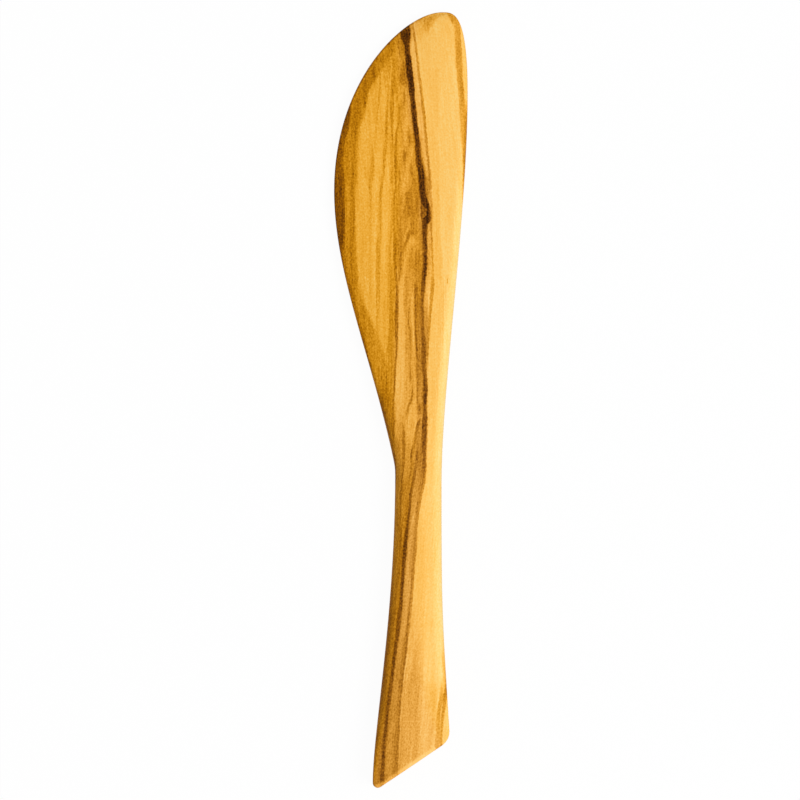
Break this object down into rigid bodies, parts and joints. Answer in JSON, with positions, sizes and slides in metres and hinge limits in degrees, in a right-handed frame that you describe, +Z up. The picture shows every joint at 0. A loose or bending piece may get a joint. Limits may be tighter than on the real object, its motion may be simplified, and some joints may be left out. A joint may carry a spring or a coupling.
{
  "type": "butter knife",
  "caption": "Carved one-piece wooden butter knife: broad blade with a curved belly and straight spine, slim neck, and a flared handle cut off at a slant.",
  "frame": {"origin": "middle of the knife's bounding box, on the plane of the flat that it lies on", "axes": "+Y to the blade's tip, +X to the straight spine, +Z up out of the side that the picture shows"},
  "size_m": [0.0314, 0.182, 0.0073],
  "materials": {
    "olive_wood": "oiled satin, golden olive wood with dark brown veins that run along the knife"
  },
  "bodies": {
    "root": {"knife": "olive_wood"}
  },
  "joints": []
}
